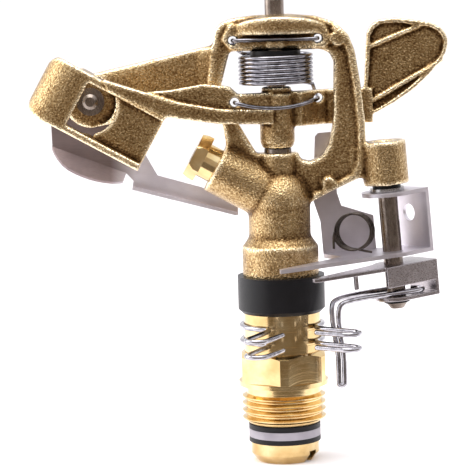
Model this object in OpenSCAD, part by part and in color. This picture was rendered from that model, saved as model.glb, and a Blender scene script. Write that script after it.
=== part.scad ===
// Part-circle impact sprinkler with a G 1/2 male inlet: a brass head that turns on a fixed nipple,
// driven by a sprung hammer arm and reversed by a wire trip between two stop clips.
// Millimetres, +Z up the turning axis, the jet towards -X, and Z = 0 at the middle of the inlet thread.

/* [Inlet nipple] */
// Major diameter of the inlet thread
thread_d = 20.955; // [16:0.005:34]
// Thread pitch
thread_pitch = 1.814; // [1:0.001:3]
// Length of the thread below the seat face
thread_len = 9.75; // [7:0.05:16]
// Diameter of the seat flange
flange_d = 22.4; // [21.5:0.1:36]
// Thickness of the seat flange
flange_t = 1.1; // [0.8:0.1:3]
// Spanner size across the hexagon's flats
hex_af = 20.8; // [20.2:0.1:34]
// Diameter that trims the hexagon's corners
hex_trim_d = 22.9; // [21:0.1:38]
// Height of the hexagon
hex_h = 7.4; // [5:0.1:14]
// Diameter of the barrel that carries the stop clips
barrel_d = 19.2; // [17:0.1:19.4]
// Height of that barrel above the hexagon
barrel_h = 10.5; // [8.5:0.1:14]

/* [Turning spindle] */
// Outside diameter of the spindle tube
spindle_d = 13.7; // [11:0.1:15]
// Water bore of the spindle tube
bore_d = 10.4; // [7:0.1:11.5]
// Radial running clearance of bearings and hinges
run = 0.05; // [0.02:0.01:0.1]
// Gap between faces that turn past each other
face_gap = 0.06; // [0.04:0.01:0.2]
// Outside diameter of the seal stack
seal_d = 18; // [16:0.1:19]
// Thickness of each rubber seal
seal_t = 1.25; // [0.8:0.05:2]
// Thickness of the low-friction slip ring
slip_t = 1.95; // [1:0.05:3]
// Height of the spindle's bottom collar
collar_h = 5; // [4:0.1:8]
// Diameter of that collar at the top
collar_d = 17.2; // [15:0.1:18]
// Width of the screwdriver slot across the collar
slot_w = 2.6; // [1.5:0.1:4]

/* [Dust sleeve] */
// Outside diameter of the dust sleeve
sleeve_d = 21.7; // [20.4:0.1:23.5]
// Height of the dust sleeve
sleeve_h = 9.3; // [7:0.1:12]
// Wire of the bearing spring
bearing_wire_d = 1.3; // [0.8:0.1:1.6]

/* [Stop clips] */
// Wire diameter of the stop clips
clip_wire_d = 1.3; // [0.9:0.05:1.6]
// Depth of the grooves the clips ride in
groove_depth = 0.15; // [0.1:0.05:0.4]
// Height of the lower clip above the hexagon
clip_low = 2.75; // [1.5:0.05:4]
// Spacing of the two clips
clip_step = 3.75; // [2.5:0.05:5]
// Length of the right finger loop
loop_right = 13; // [8:0.5:16]
// Length of the left finger loop
loop_left = 15; // [8:0.5:18]
// Width of a finger loop
loop_w = 5.4; // [4:0.1:8]

/* [Body casting] */
// Diameter of the body's bottom socket
socket_d = 19; // [17.5:0.1:20]
// Height of the socket
socket_h = 7.4; // [5:0.1:10]
// Diameter of the neck above it
neck_d = 15.4; // [14.5:0.1:17]
// Height of the elbow centre above the body's bottom face
elbow_h = 18.8; // [16:0.1:24]
// Rise of the nozzle barrel above the level
jet_angle = 29.5; // [20:0.5:35]
// Outside diameter of the nozzle barrel
jet_barrel_d = 13.2; // [12:0.1:15]
// Length of the nozzle barrel from the elbow centre
jet_barrel_len = 17.8; // [15:0.1:22]
// Half thickness of the yoke's web
yoke_t = 2.4; // [1.8:0.1:3]
// Half thickness of the yoke's raised rim
rim_t = 3.1; // [2.2:0.1:3.3]
// Height of the yoke's window, from the pin boss to the top beam
window_h = 25.4; // [24.8:0.1:34]

/* [Hammer arm] */
// Diameter of the fulcrum pin
pin_d = 4.75; // [4:0.05:6]
// Wall of the arm's bushing
bush_wall = 0.8; // [0.6:0.1:1.2]
// Diameter of the arm's hub
hub_d = 8.6; // [8.2:0.1:10]
// Height of the arm's hub
hub_h = 15.2; // [14.4:0.1:17]
// Distance of the spoon's inner end from the elbow centre, along the jet
spoon_start = 34.5; // [32:0.5:40]
// Length of the spoon along the jet
spoon_len = 31.6; // [26:0.1:38]
// Height of the spoon across the jet
spoon_h = 15.6; // [13.5:0.1:18]
// Depth of the spoon from front to back
spoon_depth = 10.5; // [8:0.1:12]
// Diameter of the holes for the spring's wire ends
wire_hole_d = 2.3; // [1.6:0.1:3]

/* [Hammer spring] */
// Wire diameter
spring_wire_d = 1; // [0.6:0.05:1.2]
// Mean radius of the coil
spring_r = 8.8; // [7.5:0.1:9.2]
// Whole turns of the coil
spring_turns = 7; // [3:1:7]

/* [Splash shield] */
// Distance of the shield's pivot from the turning axis
shield_reach = 46.4; // [42:0.2:52]
// Height of that pivot above the elbow centre
shield_rise = 25.2; // [22:0.2:28]
// Diameter of the fin's round pad
pad_d = 13.4; // [11:0.1:15]
// Sheet thickness
sheet_t = 0.8; // [0.5:0.1:1]
// Diameter of the shield's pin
shield_pin_d = 3; // [2:0.1:4]

/* [Trip mechanism] */
// Diameter of the trip shaft
shaft_d = 4.8; // [4:0.1:6]
// Tilt of the trip shaft, its foot outwards
trip_tilt = 4; // [0:0.5:6]
// Distance of the trip boss from the turning axis
trip_reach = 26.4; // [25.5:0.1:30]
// Height of the trip boss
boss_h = 10.8; // [9:0.1:12]
// Diameter of the trip boss
boss_d = 11.3; // [10:0.1:13]
// Plate thickness of the trip bracket and trip lever
plate_t = 1; // [0.6:0.1:1.2]
// Inside height of the trip bracket
bracket_h = 14; // [11:0.1:15]
// Inside height of the trip lever
lever_h = 7; // [6:0.1:8]
// Wire diameter of the trip wire
trip_wire_d = 1.3; // [0.9:0.05:1.5]
// Wire diameter of the toggle spring
toggle_wire_d = 0.6; // [0.4:0.05:0.8]

/* [Hidden] */
$fn = 64;
over = 0.01;             // overrun of a cut past the face it opens
hull_fn = 32;            // sides of round things inside a hull
wire_sides = 8;          // sides of a bent wire
thread_depth = 0.6403 * thread_pitch;
thread_ridges = floor((thread_len - 2.2) / thread_pitch);
thread_relief = 2.8;     // from the seat face down to the first crest
seat_z = thread_relief + (thread_ridges - 1) * thread_pitch / 2;
hex_top = seat_z + flange_t + hex_h;
barrel_top = hex_top + barrel_h;
nipple_bore_d = spindle_d + 2 * run;
groove_r = barrel_d / 2 - groove_depth;
clip_r = groove_r + run + clip_wire_d / 2;
clip_heights = [hex_top + clip_low, hex_top + clip_low + clip_step];
seal_top = seat_z - thread_len - face_gap;
slip_top = seal_top - seal_t - face_gap;
low_seal_top = slip_top - slip_t;
collar_top = low_seal_top - seal_t;
collar_bottom = collar_top - collar_h;
washer_t = 0.75;
spigot_h = 2;
sleeve_lap = 0.8;        // how far the sleeve covers the barrel's top
sleeve_bottom = barrel_top - sleeve_lap;
body_bottom = sleeve_bottom + sleeve_h;
spring_seat_z = barrel_top + face_gap + washer_t;
socket_top = body_bottom + socket_h;
elbow_z = body_bottom + elbow_h;
window_z = elbow_z + 11.7;
beam_z = window_z + window_h;
beam_top = beam_z + 9;
cap_w = 24;              // length of the beam's cap
cap_x = 0.9;
cap_bow = 18;
// Hammer arm heights follow the pin boss
hub_washer_t = 1;
hub_z = window_z + face_gap + hub_washer_t + face_gap;
arm_hole_z = hub_z + 12;
arm_hole_x = 10.4;
yoke_hole_x = 10.5;
yoke_hole_z = beam_z + 2.7;
bush_d = pin_d + 2 * run + 2 * bush_wall;
hub_end_d = bush_d + 0.85;
coil_z = hub_z + hub_h + 0.2;
coil_pitch = spring_wire_d + 0.02;
coil_start = 35;         // angle where the coil's lower end leaves
coil_end = 150;          // angle where the coil's upper end leaves
coil_turns = spring_turns + (coil_end - coil_start) / 360;
coil_top = coil_z + spring_wire_d + coil_turns * coil_pitch;
seat_d = 12.4;
// Fin and shield stand behind the jet
pad_front = 6.4;
pad_t = 2.1;
shield_front = pad_front + pad_t + face_gap;
shield_z = elbow_z + shield_rise;
// Spoon, measured along and across the jet
spoon_top = 6.3;
spoon_front = -9.5;
spoon_wall = 2;
paddle_outline = [[22, 14.4], [22.6, 23], [22.9, 27.6], [24, 29.6], [25.9, 30.9], [30.2, 31.2],
    [36.6, 30.3],
    [39.4, 29.6], [41.2, 28.6], [42.4, 27.2], [43, 25.6], [42.9, 23.8], [42.4, 22.2], [41.3, 20.4],
    [38.3, 17.1], [34.6, 13.6], [29.4, 10.2], [25, 7.9], [22.8, 7.1], [21.6, 7]];
// Trip mechanism, measured along its shaft from the boss centre
trip_z = elbow_z + 8.5;
ear_r = 6.4;
web_reach = 8;
bracket_turn = 37;
lever_turn = 34;
trip_washer_t = 0.8;
ear_top = -boss_h / 2 - 2 * trip_washer_t - 2 * face_gap;
bracket_low = ear_top - plate_t - bracket_h;
lever_top = bracket_low - plate_t - 2.2;
lever_low = lever_top - plate_t - lever_h;
shaft_end = lever_low - plate_t - 0.8;

// ---- wire and ring helpers ----

function unit(v) = v / norm(v);

// One round of corner cutting, which turns a bent line into a smooth bend
function cut_corners(p) = concat([p[0]], [for (i = [0 : len(p) - 2]) each
    [0.75 * p[i] + 0.25 * p[i + 1], 0.25 * p[i] + 0.75 * p[i + 1]]], [p[len(p) - 1]]);
function smooth(p, rounds = 2) = rounds == 0 ? p : smooth(cut_corners(p), rounds - 1);

function heading(p, i) = unit(p[min(i + 1, len(p) - 1)] - p[max(i - 1, 0)]);
function side_of(t, s) = unit(s - (s * t) * t);
function sides(p, i = 0, s = [0.13, 0.31, 0.94]) =
    let (n = side_of(heading(p, i), s)) i == len(p) - 1 ? [n] : concat([n], sides(p, i + 1, n));

// Round wire of diameter d along the points p
module wire(p, d, n = wire_sides) {
    frame = sides(p);
    rings = [for (i = [0 : len(p) - 1]) let (t = heading(p, i), a = frame[i], b = cross(t, a))
        for (k = [0 : n - 1]) p[i] + d / 2 * (cos(360 * k / n) * a + sin(360 * k / n) * b)];
    last = (len(p) - 1) * n;
    walls = [for (i = [0 : len(p) - 2]) for (k = [0 : n - 1]) let (m = (k + 1) % n)
        each [[i * n + k, (i + 1) * n + m, i * n + m], [i * n + k, (i + 1) * n + k, (i + 1) * n + m]]];
    caps = [[for (k = [0 : n - 1]) k], [for (k = [n - 1 : -1 : 0]) last + k]];
    polyhedron(rings, concat(walls, caps), convexity = 10);
}

function coil_points(r, z0, pitch, turns, start, steps = 24) =
    [for (i = [0 : ceil(turns * steps)]) let (a = min(i / steps, turns))
        [r * cos(start + 360 * a), r * sin(start + 360 * a), z0 + pitch * a]];

module ring(outer_d, inner_d, z, h) {
    translate([0, 0, z]) difference() {
        cylinder(d = outer_d, h = h);
        translate([0, 0, -over]) cylinder(d = inner_d, h = h + 2 * over);
    }
}

// Frame of the jet: X along the jet from the elbow centre, Z across it
module along_jet() { translate([0, 0, elbow_z]) mirror([1, 0, 0]) rotate([0, -jet_angle, 0]) children(); }

// Frame of the trip shaft: Z along the shaft from the boss centre
module along_shaft() { translate([trip_reach, 0, trip_z]) rotate([0, -trip_tilt, 0]) children(); }

// Outline in X and Z given a thickness in Y from y0 to y1
module upright(points, y0, y1) { translate([0, y1, 0]) rotate([90, 0, 0]) linear_extrude(y1 - y0)
    polygon(points); }

// ---- riser ----

module inlet_nipple() {
    r = thread_d / 2;
    root = r - thread_depth;
    color("#c9a24a") difference() {
        union() {
            translate([0, 0, seat_z]) rotate_extrude() polygon([[0, -thread_len], [root - 0.5, -thread_len],
                [root, -thread_len + 0.6], [root, 0], [flange_d / 2, 0], [flange_d / 2, flange_t],
                    [root, flange_t],
                [root, flange_t + over], [0, flange_t + over]]);
            // Flat-crested ridges, one for each pitch, clear of the relief under the flange
            for (i = [0 : thread_ridges - 1])
                translate([0, 0, seat_z - thread_relief - i * thread_pitch]) rotate_extrude()
                polygon([[root - 0.3, -thread_pitch * 0.46], [root + 0.02, -thread_pitch * 0.42],
                    [r, -thread_pitch * 0.08], [r, thread_pitch * 0.08],
                    [root + 0.02, thread_pitch * 0.42], [root - 0.3, thread_pitch * 0.46]]);
            intersection() {
                translate([0, 0, hex_top - hex_h]) rotate(30)
                    cylinder(r = hex_af / sqrt(3), h = hex_h, $fn = 6);
                translate([0, 0, hex_top - hex_h]) rotate_extrude() polygon([[0, 0], [hex_trim_d / 2, 0],
                    [hex_trim_d / 2, hex_h - 1.1], [hex_af / 2 - 0.4, hex_h], [0, hex_h]]);
            }
            difference() {
                translate([0, 0, hex_top - 0.5]) cylinder(d = barrel_d, h = barrel_h + 0.5);
                for (z = clip_heights) ring(barrel_d + 4, 2 * groove_r, z - 0.62 * clip_wire_d,
                    1.24 * clip_wire_d);
            }
        }
        translate([0, 0, seat_z - thread_len - over])
            cylinder(d = nipple_bore_d, h = thread_len + barrel_top - seat_z + 2 * over);
    }
}

module upper_seal() { color("#1b1b1d") ring(seal_d, nipple_bore_d, seal_top - seal_t, seal_t); }

// ---- stop clips: an open ring in its groove with a finger loop at each end ----

function ring_point(a, r = clip_r) = [r * cos(a), r * sin(a), 0];
function loop_points(start, dir, turn, len) =
    let (e = [cos(dir), sin(dir), 0], n = [cos(dir + turn), sin(dir + turn), 0], m = start + len * e)
    concat([start + 2 * e, m], [for (a = [30 : 30 : 150])
        m + loop_w / 2 * n + loop_w / 2 * (sin(a) * e - cos(a) * n)],
        [m + loop_w * n, m + loop_w * n - 0.6 * len * e]);
function reversed(p) = [for (i = [len(p) - 1 : -1 : 0]) p[i]];

module stop_clip(z) {
    step = 15;
    ends = [-49, 255];
    drawn_r = clip_r / cos(step / 2);
    ring_path = [for (a = [ends[0] + step : step : ends[1] - 4]) ring_point(a, drawn_r)];
    path = concat(reversed(loop_points(ring_point(ends[0]), -35, -90, loop_right)),
        ring_path, loop_points(ring_point(ends[1]), -115, 90, loop_left));
    color("#c8ccd2") translate([0, 0, z]) wire(smooth(path), clip_wire_d);
}
module lower_stop_clip() { stop_clip(clip_heights[0]); }
module upper_stop_clip() { stop_clip(clip_heights[1]); }

// ---- turning spindle and bearing ----

module spindle_tube() {
    color("#c9a24a") ring(spindle_d, bore_d, collar_top - 2, socket_top - 1 - collar_top + 2);
}

module spindle_collar() {
    color("#c9a24a") difference() {
        union() {
            translate([0, 0, collar_bottom]) cylinder(d1 = collar_d - 3.4, d2 = collar_d - 0.4, h = 2.01);
            translate([0, 0, collar_bottom + 2]) cylinder(d = collar_d - 0.2, h = collar_h - 2.6);
            translate([0, 0, collar_top - 0.7]) cylinder(d = collar_d, h = 0.7);
        }
        translate([0, 0, collar_bottom - over]) cylinder(d = bore_d, h = collar_h + 2 * over);
        translate([0, 0, collar_top - 2]) cylinder(d = spindle_d, h = 3);
        rotate(-37) translate([-collar_d, -slot_w / 2, collar_bottom - over])
            cube([2 * collar_d, slot_w, 2.9]);
    }
}

module slip_ring() { color("#a9a4ab") ring(seal_d, spindle_d, slip_top - slip_t, slip_t); }
module lower_seal() { color("#1b1b1d") ring(seal_d, spindle_d, collar_top, seal_t); }
module thrust_washer() { color("#cfcac0") ring(barrel_d - 1, spindle_d, barrel_top + face_gap, washer_t); }

module bearing_spring() {
    spring_h = body_bottom - spigot_h - spring_seat_z;
    turns = 3.5;
    r = (spindle_d + bearing_wire_d) / 2 + 0.3;
    pitch = (spring_h - bearing_wire_d - 0.1) / turns;
    z0 = spring_seat_z + bearing_wire_d / 2 + 0.05;
    color("#b9bcc2") wire(coil_points(r, z0, pitch, turns, 90, 20), bearing_wire_d, 6);
}

module dust_sleeve() {
    spigot_d = socket_d - 0.6;
    color("#1d1d20") difference() {
        union() {
            translate([0, 0, sleeve_bottom]) cylinder(d1 = sleeve_d - 2, d2 = sleeve_d, h = 1);
            translate([0, 0, sleeve_bottom + 0.99]) cylinder(d = sleeve_d, h = sleeve_h - 0.99);
        }
        translate([0, 0, sleeve_bottom - over]) cylinder(d = barrel_d + 0.6, h = sleeve_h - spigot_h);
        translate([0, 0, sleeve_bottom]) cylinder(d = spigot_d, h = sleeve_h + 1);
    }
}

// ---- body casting ----

// Yoke outline and its window, drawn in X and in Z above the window's bottom
function yoke_outline(h) = [[-13.6, -4], [-12.8, 3], [-13.6, 8], [-17.1, 16], [-14.8, h + 5.2],
    [-13.4, h + 7], [-10.8, h + 8], [-5, h + 8.7], [3, h + 8.8], [10, h + 8.2], [15, h + 6.4],
    [18, h + 3.4], [19.5, h - 0.6], [20.7, 17], [21.7, 7], [21.7, 0], [20.6, -5], [19.6, -6.8],
    [13, -9.8], [8.2, -12.2], [6, -14], [-6, -14], [-9, -6]];
function window_outline(h) = [[-11.4, h - 0.4], [-13.6, 17], [-13.2, 14.8], [-9.6, 7.6], [-5.3, 0], [5, 0],
    [5.7, -1.8], [8, -2.3], [10.9, -1], [12.7, 2], [13.8, 7], [14.3, h - 3.2], [13.3, h - 1], [11.2, h],
    [-11, h]];

module raised(points) { translate([0, 0, window_z]) upright(points, -rim_t, rim_t); }

module yoke() {
    difference() {
        translate([0, 0, window_z]) upright(yoke_outline(window_h), -yoke_t, yoke_t);
        translate([0, 0, window_z]) upright(window_outline(window_h), -yoke_t - 1, yoke_t + 1);
    }
    // Raised rim down the right side and along the lower branch, and the rounded beam
    h = window_h;
    raised([[15, h + 6.4], [18, h + 3.4], [19.5, h - 0.6], [20.7, 17], [21.7, 7], [21.7, 0], [20.6, -5],
        [19.6, -6.8], [13, -9.8], [8.2, -12.2], [8.6, -10.4], [13.4, -8.2], [18.4, -5.6], [19.4, -3.6],
        [20, 0], [20, 7], [19, 17], [17.8, h - 1], [16.4, h + 2.6], [14, h + 4.8]]);
    raised([[-11.2, h + 0.6], [12, h + 0.6], [14, h + 2.4], [12, h + 6.2], [-11.2, h + 6.6], [-13, h + 3]]);
}

// Pillow-shaped cap over the beam, which shades the spring's upper wire end
module beam_cap() {
    half = cap_w / 2;
    intersection() {
        translate([cap_x, 0, beam_z + 3.9]) rotate_extrude()
            polygon([[0, 0], [half - 1.4, 0], [half - 0.4, 0.6],
            [half, 1.6], [half - 0.8, 2.6], [half - 3, 3.6], [half - 7, 4.7], [0, 5.2]]);
        translate([cap_x, cap_bow - 6.6, beam_z]) cylinder(r = cap_bow, h = 12);
        translate([cap_x, 6.6 - cap_bow, beam_z]) cylinder(r = cap_bow, h = 12);
    }
    translate([-1.9, -rim_t - 0.5, beam_z + 0.2]) cube([3.7, 1.5, 2.4]);
}

// Round marks that the mould's ejector pins leave on the yoke's face
module ejector_marks() {
    for (mark = [[15.3, window_h + 2.6], [12.4, -8]]) translate([mark[0], -rim_t - 0.3, window_z + mark[1]])
        rotate([-90, 0, 0]) cylinder(d = 3.6, h = 1.2);
}

// Fin that runs back and left from the yoke's left leg to the shield's pad
module fin() {
    hull() {
        translate([-15.6, -1.2, window_z + 12]) cube([1, 2.8, 15]);
        translate([-shield_reach, pad_front + pad_t, shield_z]) rotate([90, 0, 0])
            cylinder(d = pad_d - 0.2, h = pad_t, $fn = hull_fn);
    }
    translate([-shield_reach, pad_front + pad_t, shield_z]) rotate([90, 0, 0])
        cylinder(d = pad_d, h = pad_t);
    // Sloping fillet from the leg's face down to the fin's
    hull() {
        translate([-15.4, -yoke_t + 0.1, window_z + 13]) cube([1, 2, 13.6]);
        translate([-21.4, 0.4, window_z + 12.6]) cube([1, 1, 12.4]);
    }
}

module body_casting() {
    color("#b08a45") difference() {
        union() {
            translate([0, 0, body_bottom - spigot_h]) cylinder(d = socket_d - 0.6, h = spigot_h + 1);
            translate([0, 0, body_bottom]) cylinder(d = socket_d, h = socket_h);
            translate([0, 0, socket_top - 0.2]) cylinder(d1 = socket_d - 0.3, d2 = neck_d - 0.4, h = 2.8);
            translate([0, 0, socket_top]) cylinder(d = neck_d, h = elbow_z - socket_top);
            translate([0, 0, elbow_z]) sphere(d = neck_d + 0.4);
            along_jet() rotate([0, 90, 0]) cylinder(d = jet_barrel_d, h = jet_barrel_len);
            translate([0, 0, elbow_z]) cylinder(d = 9.4, h = window_z - elbow_z);
            yoke();
            beam_cap();
            ejector_marks();
            fin();
            along_shaft() translate([0, 0, -boss_h / 2]) cylinder(d = boss_d, h = boss_h);
            translate([18, -2.6, trip_z - 3.6]) cube([trip_reach - 20, 5.2, 7.6]);
        }
        // Water way
        translate([0, 0, body_bottom - spigot_h - over]) cylinder(d = spindle_d, h = socket_h + spigot_h);
        translate([0, 0, body_bottom]) cylinder(d = bore_d, h = elbow_z - body_bottom);
        along_jet() rotate([0, 90, 0]) cylinder(d = 8, h = jet_barrel_len + 1);
        translate([0, 0, elbow_z]) sphere(d = bore_d);
        // Fulcrum pin, blind in the boss and through the beam
        translate([0, 0, window_z - 5]) cylinder(d = pin_d, h = beam_top - window_z + 8);
        // Holes for the spring's wire end
        for (s = [-1, 1]) translate([s * yoke_hole_x, 10, yoke_hole_z]) rotate([90, 0, 0])
            cylinder(d = wire_hole_d, h = 20);
        along_shaft() translate([0, 0, -boss_h]) cylinder(d = shaft_d, h = 2 * boss_h - 2);
        translate([-shield_reach, pad_front + pad_t + 1, shield_z]) rotate([90, 0, 0])
            cylinder(d = shield_pin_d, h = pad_t + 2);
        // Round spot face that seats the pin's washer on the pad
        translate([-shield_reach, pad_front, shield_z]) rotate([90, 0, 0]) cylinder(d = pad_d - 0.6, h = 8);
    }
}

module flow_vane() {
    r = bore_d / 2;
    color("#d8d6cf") intersection() {
        union() for (a = [0, 60, 120]) rotate(a) translate([-r, -0.4, socket_top + 1])
            cube([2 * r, 0.8, 6]);
        translate([0, 0, socket_top]) cylinder(r = r, h = 10);
    }
}

// Jet nozzle: threaded shank, plain neck, hexagon and a tapered water bore
module nozzle() {
    shank = 6;
    neck = 3.4;
    head = 3;
    color("#c2983f") along_jet() translate([jet_barrel_len, 0, 0]) rotate([0, 90, 0]) difference() {
        union() {
            translate([0, 0, -shank]) cylinder(d = 8, h = shank + 0.1);
            cylinder(d = 8.7, h = neck + 0.1);
            intersection() {
                translate([0, 0, neck]) cylinder(d = 11.8, h = head, $fn = 6);
                translate([0, 0, neck]) cylinder(d1 = 12.6, d2 = 11, h = head);
            }
        }
        translate([0, 0, -shank - over]) cylinder(d1 = 6.4, d2 = 4, h = shank + neck);
        translate([0, 0, neck - 0.2]) cylinder(d = 4, h = head + 1);
    }
}

// ---- hammer ----

module fulcrum_pin() {
    color("#8d8a86") {
        translate([0, 0, window_z - 5]) cylinder(d = pin_d, h = beam_top + 3.4 - window_z + 5);
        translate([0, 0, beam_top + 3.39]) cylinder(d1 = pin_d, d2 = pin_d - 1, h = 0.5);
    }
}

module hub_washer() { color("#6f6b66") ring(6.8, pin_d, window_z + face_gap / 2, hub_washer_t); }

module arm_bushing() { color("#3b3937") ring(bush_d, pin_d + 2 * run, hub_z, hub_h); }

// Spoon that the jet strikes: a tray open towards the nozzle with a round end,
// and a curved back edge that clears the fin's pad
module spoon() {
    low = spoon_top - spoon_h;
    far = spoon_start + spoon_len;
    end_r = 7.5;
    turn_u = far - end_r;
    back = spoon_front + spoon_depth;
    pad_u = shield_reach * cos(jet_angle) + shield_rise * sin(jet_angle);
    pad_w = shield_rise * cos(jet_angle) - shield_reach * sin(jet_angle);
    corner = 3.2;
    face = concat([[spoon_start - 1, low]],
        [for (a = [-90 : 15 : 0]) [far - corner + corner * cos(a), low + corner + corner * sin(a)]],
        [for (a = [0 : 15 : 90]) [far - corner + corner * cos(a), spoon_top - corner + corner * sin(a)]],
        [[spoon_start - 1, spoon_top]]);
    along_jet() difference() {
        intersection() {
            upright(face, spoon_front - 1, back + 1);
            spoon_walls(low, far, end_r, turn_u, back);
        }
        translate([pad_u, 0, pad_w]) rotate([90, 0, 0]) cylinder(d = pad_d + 1.2, h = 5.6);
    }
}

module spoon_walls(low, far, end_r, turn_u, back) {
    // Front wall beside the window
    translate([turn_u - 3.4, spoon_front, low]) cube([3.5, spoon_wall, spoon_h]);
    // Round far end
    translate([turn_u, spoon_front + end_r, low]) intersection() {
        difference() {
            cylinder(r = end_r, h = spoon_h);
            translate([0, 0, -1]) cylinder(r = end_r - spoon_wall, h = spoon_h + 2);
        }
        translate([0, -end_r - 1, 0]) cube([end_r + 1, end_r + 1.1, spoon_h]);
    }
    translate([far - spoon_wall, spoon_front + end_r, low])
        cube([spoon_wall, back - spoon_front - end_r, spoon_h]);
    // Top and bottom rails
    translate([spoon_start, spoon_front, spoon_top - 2]) cube([turn_u - spoon_start, spoon_depth - 2, 2]);
    translate([spoon_start, spoon_front, low]) cube([turn_u - spoon_start, spoon_depth - 2, 1.8]);
    // Sunk floor that turns the jet aside
    translate([spoon_start, spoon_front + 4.6, low + 0.5]) cube([13.5, 2, spoon_h - 1]);
}

// Beam from the hub to the spoon, in front of the yoke's left leg
module arm_beam() {
    z = hub_z + 6.2;
    intersection() {
        upright([[-1, z], [-14, z + 0.7], [-27.4, z + 2.9], [-41, z + 9.6], [-42, z + 12.4], [-34, z + 9],
            [-26, z + 9.4], [-18, z + 10.6], [-11.5, z + 9.7], [-9.6, z + 7.8], [-1, z + 7.8]], -12, 4);
        translate([0, 0, z - 6]) linear_extrude(26) polygon([[0, -3.6], [-5, -5], [-12, -7], [-24, -9],
            [-42, spoon_front], [-42, -6], [-28, -5.8], [-14, -3.6], [-9, -3.3], [-3, -1], [0, 0]]);
    }
    // Proud lower rib that sweeps up into the spoon's top rail
    intersection() {
        upright([[-1, z], [-14, z + 0.7], [-27.4, z + 2.9], [-41, z + 9.6], [-42, z + 12.4], [-33, z + 9.4],
            [-24, z + 6.4], [-14, z + 4.4], [-1, z + 3.6]], -12, 4);
        translate([0, 0, z - 6]) linear_extrude(26) polygon([[0, -4.4], [-5, -6], [-12, -8.2], [-24, -9.8],
            [-42, spoon_front - 0.4], [-42, -7], [-24, -6], [-12, -5], [0, -2]]);
    }
}

// Web behind the yoke's right leg, and the counterweight paddle it carries
module arm_tail() {
    z = hub_z;
    translate([0, 0, z + 5.4]) linear_extrude(8.6)
        polygon([[0, -2], [6, -1.6], [12.4, 3.7], [24, 4], [24, 7],
        [11.4, 6.6], [5, 2.8], [0, 3]]);
    outline = [for (p = paddle_outline) [p[0], p[1] + z]];
    upright(outline, 4.9, 7);
    // Raised rim round the paddle's face, and its two slanting ribs
    inner = [for (p = outline) p + 1.1 * unit([31, 20 + z] - p)];
    difference() {
        upright(outline, 4.1, 5);
        upright(inner, 3, 6);
    }
    for (rib = [[[22.8, 24], [37, 29.6]], [[23.6, 10.6], [41.4, 20.4]]])
        hull() for (p = rib) translate([p[0], 5, z + p[1]]) rotate([90, 0, 0])
            cylinder(d = 0.9, h = 0.8, $fn = 16);
}

module hammer_arm() {
    color("#b08a45") difference() {
        union() {
            translate([0, 0, hub_z]) cylinder(d1 = hub_end_d + 0.1, d2 = hub_d - 0.1, h = 1.6);
            translate([0, 0, hub_z + 1.5]) cylinder(d = hub_d, h = hub_h - 3.2);
            translate([0, 0, hub_z]) cylinder(d = hub_end_d, h = hub_h);
            arm_beam();
            spoon();
            arm_tail();
        }
        translate([0, 0, hub_z - 1]) cylinder(d = bush_d, h = hub_h + 2);
        for (s = [-1, 1]) translate([s * arm_hole_x, 12, arm_hole_z]) rotate([90, 0, 0])
            cylinder(d = wire_hole_d, h = 24);
    }
}

// Torsion spring whose two wire ends are laced through the yoke and through the arm
module hammer_spring() {
    z0 = coil_z + spring_wire_d / 2;
    coil = coil_points(spring_r, z0, coil_pitch, coil_turns, coil_start);
    hz = arm_hole_z;
    hx = arm_hole_x;
    low_end = [[-hx, -3.4, hz], [-hx, -7.6, hz], [-hx + 0.8, -8.9, hz - 0.2], [-5.5, -7.6, hz - 1.3],
        [0, -6.4, hz - 1.8], [5.5, -5, hz - 1.2], [hx - 1.2, -2, hz - 0.2], [hx, 0.6, hz], [hx, 6.4, hz],
            [hx - 0.4, 7.9, hz + 0.8],
        [hx - 1.2, 7.4, z0 - 0.6]];
    yx = yoke_hole_x;
    yz = yoke_hole_z;
    high_end = [[-9.3, 5.6, z0 + coil_turns * coil_pitch + 0.9], [-yx, 5.2, yz - 1.2], [-yx, 3.8, yz],
        [-yx, -3.4, yz], [-yx + 1, -4.2, yz], [0, -4.2, yz + 0.1], [yx - 1, -4.2, yz], [yx, -3.4, yz],
            [yx, 2.4, yz]];
    color("#a6a8ad") wire(concat(smooth(low_end), coil, smooth(high_end)), spring_wire_d, 6);
}

// Black seat inside the top of the coil
module spring_seat() { color("#232224") ring(seat_d, pin_d, beam_z - 2.6, 2.54); }

// ---- splash shield ----

module shield_plate() {
    e = elbow_z;
    upright([[-56.5, e + 14], [-56.6, e + 19.5], [-53.5, e + 26], [-47, e + 31.2], [-40.5, e + 28],
        [-36, e + 20],
        [-33, e + 11], [-30.3, e + 6], [-19.3, e + 2.7], [-10.2, e - 1.8], [-10.3, e - 4.7], [-24, e - 1],
        [-36.8, e + 2.5], [-36.4, e + 4.8], [-38, e + 6.6]], shield_front, shield_front + sheet_t);
}

module splash_shield() {
    color("#b9bbc1") difference() {
        union() {
            shield_plate();
            // Lower lip of the long tail, folded forwards
            translate([-36.6, shield_front - 1.3, elbow_z + 2.6]) rotate([0, 15.5, 0])
                cube([26.8, sheet_t + 1.2, sheet_t]);
            // Scoop folded forwards under the spoon
            translate([-56.6, shield_front + 0.1, elbow_z + 14.2]) rotate([0, 21.5, 0]) rotate([-48, 0, 0])
                upright([[0, 0.5], [19.9, 0.5], [19.9, -3.1], [19.2, -3.6], [17.5, -4.5], [15.4, -5.2],
                    [13.5, -5.6], [11.6, -5.8], [9.6, -5.8], [7.6, -5.6], [5.8, -5.2], [4.1, -4.4],
                    [2.5, -3.1], [1.2, -1.7], [0.4, -0.6]], 0, sheet_t);
        }
        translate([-shield_reach, 20, shield_z]) rotate([90, 0, 0])
            cylinder(d = shield_pin_d + 2 * run, h = 20);
    }
}

module shield_washer() {
    color("#4a4038") translate([-shield_reach, pad_front, shield_z]) rotate([90, 0, 0])
        ring(7, shield_pin_d, 0, 0.7);
}

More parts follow.
